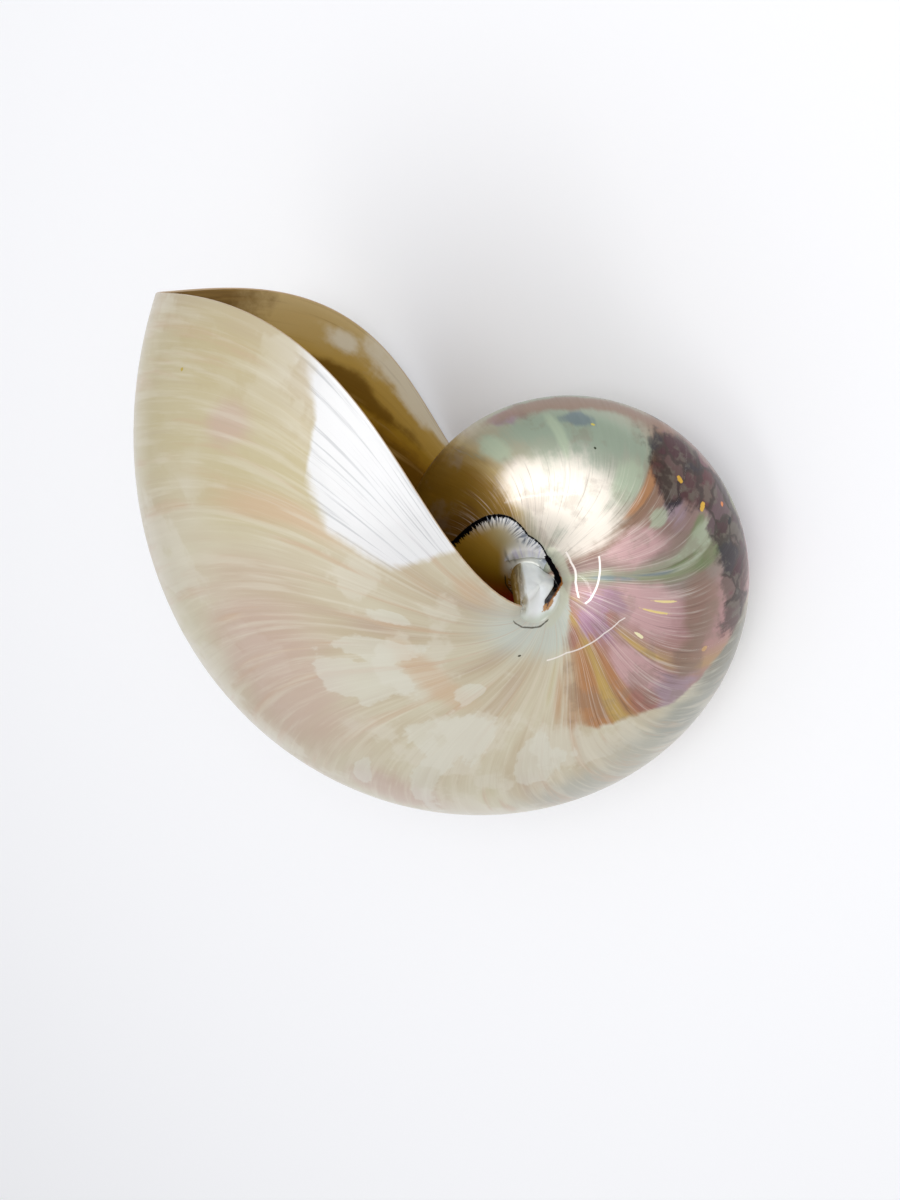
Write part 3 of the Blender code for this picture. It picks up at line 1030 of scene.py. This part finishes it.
    def black_edge(self, ground: Ground) -> bpy.types.NodeSocket:
        """How much of the black organic edge there is: a line with teeth that point into the mouth."""
        film, along = ground.attribute("film"), ground.attribute("film_along")
        teeth = ground.noise(add(ground.tree, "CombineXYZ", {}, {"X": along}), 1.9, 3.0)
        heavy = ground.between(ground.growth, -338.0, -372.0)
        tooth = ground.sum(teeth, 1.0, -0.5)
        width = ground.sum(heavy, 0.85, 0.38)
        spread = ground.sum(heavy, 4.6, 1.2)
        reach = ground.sum(tooth, spread, width)
        left = ground.sum(film, -1.0, reach)
        inner = ground.between(left, -0.08, 0.12)
        outer = ground.between(ground.sum(tooth, 0.5, film), -0.10, 0.06)
        return ground.times(inner, outer)

    def make(self) -> bpy.types.Material:
        """Builds the node tree.

        Returns:
            The material.
        """
        material, tree, shader = self.start()
        ground = Ground(tree)
        ragged = ground.sum(ground.coarse, 8.0, ground.sum(ground.patchy, 6.0, ground.attribute("zone")))
        zone = ground.between(ragged, 5.4, 8.6)
        colour = ground.over(self.body(ground), self.old_whorl(ground), zone)
        colour = ground.over(colour, self.film(ground), ground.between(ground.attribute("film"), -0.05, 0.1))
        for speck in SPECKS:
            colour = ground.over(colour, speck.colour, ground.speck(*speck.place))
        # pale lines: the crack, and the painted highlights of the lamp's arcs
        for seam in SEAMS:
            way = ground.size(ground.attribute(seam.name))
            colour = ground.over(colour, "#F8F0EA", ground.between(way, seam.half, 0.4 * seam.half, seam.most))
        colour = umbilical_marks(ground, colour)
        black = self.black_edge(ground)
        colour = ground.over(colour, "#08070A", black)
        colour = ground.over(colour, "#BFA27C", ground.between(ground.inward, 0.1, 0.4))
        tree.links.new(colour, shader.inputs["Base Color"])
        tree.links.new(ground.sum(ground.times(zone, ground.fine), 0.62, 0.14), shader.inputs["Metallic"])
        tree.links.new(ground.sum(ground.fine, 0.24, self.roughness - 0.12), shader.inputs["Roughness"])
        gap = ground.between(ground.apart("gap"), 0.62, 0.5)
        dull = add(tree, "Math", {"operation": "MAXIMUM"}, {0: black, 1: gap})
        tree.links.new(ground.sum(dull, -self.coat, self.coat), shader.inputs["Coat Weight"])
        tree.links.new(ground.sum(dull, -0.5, 0.5), shader.inputs["Specular IOR Level"])
        bump = add(tree, "Bump", {}, {"Height": ground.fine, "Strength": 0.4, "Distance": 0.00008})
        tree.links.new(bump, shader.inputs["Normal"])
        return material


def umbilical_marks(ground: Ground, colour: Any) -> bpy.types.NodeSocket:
    """Draws the lines round the callus: a pale halo, the amber stain, the gap's groove painted near black as shade, and
    the rim's dark line.

    Args:
        ground: The shared places and noise.
        colour: The colour underneath.

    Returns:
        The colour with the lines.
    """
    halo, stain, gap, rim = (ground.apart(name) for name in ("halo", "stain", "gap", "rim"))
    wander = ground.sum(ground.grain, 0.5, -0.25)
    colour = ground.over(colour, "#C6C8B4", ground.between(halo, 1.4, 0.7, 0.75))
    colour = ground.over(colour, "#A8661A", ground.between(ground.sum(wander, 1.6, stain), 0.50, 0.30))
    blot = ground.sum(wander, 1.6, ground.apart("blot"))
    colour = ground.over(colour, "#B07828", ground.between(blot, 0.95, 0.65, 0.95))
    colour = ground.over(colour, "#5A2E08", ground.between(ground.sum(wander, 1.2, stain), 0.20, 0.10))
    # painted shade: the groove along the gap, near black
    colour = ground.over(colour, "#0A080C", ground.between(ground.sum(wander, 0.6, gap), 0.62, 0.52))
    return ground.over(colour, "#3A3620", ground.between(ground.sum(wander, 0.3, rim), 0.20, 0.10, 0.9))


def callus_colour(ground: Ground) -> bpy.types.NodeSocket:
    """White porcelain, greenish by the rim, with the brown ribbed part where it turns into the mouth, darkened there
    with painted shade.

    Args:
        ground: The shared places and noise.

    Returns:
        The colour.
    """
    colour = ground.over("#F4F8F7", "#DEE6E6", ground.between(ground.cloud, 0.42, 0.6, 0.7))
    colour = ground.over(colour, "#B4BDA2", ground.between(ground.apart("rim"), 3.2, 0.8, 0.75))
    colour = ground.over(colour, "#E4E8DC", ground.between(ground.apart("rim"), 1.0, 0.5, 0.9))
    mouthward, tipward = ground.along(MOUTHWARD), ground.along(TIPWARD)
    place = add(ground.tree, "CombineXYZ", {}, {"X": mouthward, "Y": ground.times(tipward, 0.16)})
    ribs = ground.noise(place, 2.2, 3.0)
    # painted shade: brown darkening where the callus turns away into the mouth
    turned = ground.sum(ribs, 1.4, mouthward)
    turn_shade = ground.ramp(turned, 4.0, 8.5, TURN_SHADE_COLOURS)
    turn_shade = ground.over(turn_shade, "#C9BC9C", ground.between(ribs, 0.52, 0.66, 0.6))
    inside = ground.times(ground.between(turned, 5.0, 5.9), ground.between(tipward, 12.0, 10.0))
    return ground.over(colour, turn_shade, inside)


TURN_SHADE_COLOURS = ((5.0, "#B4B09A"), (5.8, "#8C8266"), (6.8, "#7A6434"), (8.0, "#8A6A2A"))


@dataclass(frozen=True)
class ChamberLining(Finish):
    """Nacre as the animal laid it inside the living chamber, never ground.

    To the eye: satin, grey beige by the lip and golden brown further in; the colour darkens inwards with painted shade,
    and a painted glow (emission) stands in for light that passes the wall.
    """

    name: str = "chamber_nacre_as_grown"
    roughness: float = 0.45
    coat: float = 0.0
    coat_roughness: float = 0.2
    specular: float = 0.05
    painted_glow: float = 0.14

    def make(self) -> bpy.types.Material:
        """Builds the node tree.

        Returns:
            The material.
        """
        material, tree, shader = self.start()
        ground = Ground(tree)
        moved = ground.sum(ground.broad, 16.0, ground.growth)
        colour = ground.ramp(moved, -60.0, 10.0, LINING_COLOURS)
        for tint in LINING_TINTS:
            colour = ground.tinted(colour, tint, ground.uneven, 1.6, 0.25, 0.8)
        colour = ground.over(colour, "#B89658", ground.between(ground.coarse, 0.52, 0.7, 0.4))
        colour = ground.over(colour, "#5E3C06", ground.between(ground.fine, 0.46, 0.28, 0.3))
        colour = ground.over(colour, callus_colour(ground), ground.between(ground.depth, 0.0, 0.05))
        colour = umbilical_marks(ground, colour)
        tree.links.new(colour, shader.inputs["Base Color"])
        # painted light: emission in the lining's own colour stands in for light that passes the thin wall
        tree.links.new(colour, shader.inputs["Emission Color"])
        shader.inputs["Emission Strength"].default_value = self.painted_glow
        shader.inputs["Specular IOR Level"].default_value = self.specular
        bump = add(tree, "Bump", {}, {"Height": ground.fine, "Strength": 0.3, "Distance": 0.00006})
        tree.links.new(bump, shader.inputs["Normal"])
        return material


@dataclass(frozen=True)
class CallusPorcelain(Finish):
    """The umbilical callus: dense white shell, smooth as porcelain, as the animal laid it.

    To the eye: cool white, a little see-through green towards its lower rim and brown, with painted shade, where it
    turns into the mouth.
    """

    name: str = "callus_porcelain_as_grown"
    roughness: float = 0.25
    coat: float = 0.6
    coat_roughness: float = 0.06

    def make(self) -> bpy.types.Material:
        """Builds the node tree.

        Returns:
            The material.
        """
        material, tree, shader = self.start()
        ground = Ground(tree)
        colour = callus_colour(ground)
        colour = umbilical_marks(ground, colour)
        tree.links.new(colour, shader.inputs["Base Color"])
        return material


# The first stops, dark gold up to -350 degrees, are painted shadow of the near lip with golden reflected light; the
# rest are the nacre's bands of colour.
ZONE_COLOURS = (
    (-360.0, "#6E4C12"), (-350.0, "#86641E"), (-341.0, "#B09A66"), (-334.0, "#B4AA90"), (-318.0, "#A4AC98"),
    (-300.0, "#9CA896"), (-285.0, "#A8AC9A"), (-276.0, "#A49C8A"), (-271.0, "#8E6E58"), (-266.0, "#9A7C6C"),
    (-258.0, "#92766E"), (-250.0, "#987F78"), (-243.0, "#9A9884"), (-237.0, "#8E9474"), (-232.0, "#94867C"),
    (-224.0, "#AE8A88"), (-212.0, "#B08886"), (-205.0, "#B28C82"), (-200.0, "#B4946E"), (-196.0, "#AC8880"),
    (-186.0, "#B0847A"), (-178.0, "#B07E60"), (-172.0, "#C0A060"), (-165.0, "#BA8C62"), (-152.0, "#C2A07E"),
    (-140.0, "#CBB698"),
)
# Colours of the pieces, darkened as painted shade.
SHARD_AND_SHADE_COLOURS = (
    (0.25, "#3E1420"), (0.36, "#5A3C3A"), (0.44, "#5E4C48"), (0.52, "#46302C"), (0.58, "#6E2034"), (0.66, "#7A5A60"),
    (0.75, "#262028"),
)
# Pale by the film's edge, then gold, amber and red further in: painted shade of the mouth with painted golden and red
# glow.
FILM_COLOURS = (
    (-465.0, "#7A3A08"), (-438.0, "#C02A0C"), (-424.0, "#A43C06"), (-404.0, "#8E5C0A"), (-388.0, "#A8801F"),
    (-372.0, "#B8923A"), (-358.0, "#C4B688"), (-340.0, "#DCDCD4"), (-300.0, "#E2E6E2"),
)
# Darker and more golden further into the chamber: painted shade of the recess, with the golden glow of light through
# the wall painted in.
LINING_COLOURS = (
    (-60.0, "#2E1A00"), (-30.0, "#5A3A02"), (-14.0, "#7C5408"), (-6.0, "#94701F"), (0.0, "#A88844"), (8.0, "#B8A070"),
)


@dataclass
class Studio:
    """A pale floor, soft lights and the camera at the photo's viewing angle."""

    floor_reach: float = 3.0
    camera_place: tuple[float, float, float] = (0.06355, 0.08746, 0.22056)
    camera_turn: tuple[float, float, float] = (-17.551, 24.685, 19.615)
    lens: float = 26.785
    sensor: float = 36.0
    lamps: tuple[tuple[str, tuple[float, float, float], float, tuple[float, float], float], ...] = (
        ("lip_window", (-0.04, -0.20, 0.62), -47.0, (0.50, 0.13), 1.7),
        ("whorl_window", (0.12, 0.30, 0.62), 40.0, (0.64, 0.46), 1.35),
        ("strip", (0.10, 0.13, 0.58), 45.0, (0.34, 0.02), 10.0),
    )
    wall_light: float = 0.42
    ceiling_light: float = 0.94

    def floor(self) -> bpy.types.Object:
        """A plain pale floor."""
        shape = bmesh.new()
        bmesh.ops.create_grid(shape, x_segments=1, y_segments=1, size=self.floor_reach)
        mesh = bpy.data.meshes.new("floor")
        shape.to_mesh(mesh)
        shape.free()
        material = bpy.data.materials.new("matt_white_paper")
        material.use_nodes = True
        shader = material.node_tree.nodes["Principled BSDF"]
        shader.inputs["Base Color"].default_value = linear("#FAFAFC")
        shader.inputs["Roughness"].default_value = 0.9
        mesh.materials.append(material)
        floor = bpy.data.objects.new("floor", mesh)
        bpy.context.collection.objects.link(floor)
        return floor

    def softbox(self, name: str, place: Vector, turn: float, size: tuple[float, float], power: float) -> None:
        """A flat light that hangs level and shines down.

        Args:
            name: The light's name.
            place: Where it hangs, in metres.
            turn: How far its long side turns from X, in radians.
            size: Its length and width.
            power: Watts.
        """
        lamp = bpy.data.lights.new(name, "AREA")
        lamp.shape = "ELLIPSE"
        lamp.size, lamp.size_y = size
        lamp.energy = power
        light = bpy.data.objects.new(name, lamp)
        light.location = place
        light.rotation_euler = (0.0, 0.0, turn)
        bpy.context.collection.objects.link(light)

    def camera(self) -> None:
        """The camera, above the shell and looking down on it."""
        lens = bpy.data.cameras.new("camera")
        lens.sensor_fit = "VERTICAL"
        lens.sensor_height = self.sensor
        lens.lens = self.lens
        lens.clip_start = 0.01
        camera = bpy.data.objects.new("camera", lens)
        camera.location = self.camera_place
        camera.rotation_euler = [radians(turn) for turn in self.camera_turn]
        bpy.context.collection.objects.link(camera)
        bpy.context.scene.camera = camera

    def set_up(self) -> None:
        """Floor, lights, sky and camera."""
        self.floor()
        self.camera()
        for name, place, turn, size, radiance in self.lamps:
            self.softbox(name, Vector(place), radians(turn), size, radiance * pi * size[0] * size[1])
        world = bpy.data.worlds.new("pale_room")
        world.use_nodes = True
        tree = world.node_tree
        place = add(tree, "TexCoord").node.outputs["Generated"]
        height = add(tree, "SeparateXYZ", {}, {"Vector": place}).node.outputs["Z"]
        rise = add(tree, "MapRange", {}, {"Value": height, "To Min": self.wall_light, "To Max": self.ceiling_light})
        tree.links.new(rise, tree.nodes["Background"].inputs["Strength"])
        tree.nodes["Background"].inputs["Color"].default_value = linear("#F7F8FA")
        bpy.context.scene.world = world
        bpy.context.scene.view_settings.view_transform = "Standard"


def main() -> None:
    """Builds the shell, its finishes, the floor, the lights and the camera."""
    logging.basicConfig(level=logging.INFO)
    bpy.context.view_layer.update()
    Studio().set_up()
    shell = WholeShell(Coil()).build()
    for finish in (PolishedNacre(), ChamberLining(), CallusPorcelain()):
        shell.data.materials.append(finish.make())
    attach(shell, "root")
    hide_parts(NODE)
    LOG.info("%s: %d faces", shell.name, len(shell.data.polygons))


if __name__ == "__main__":
    main()
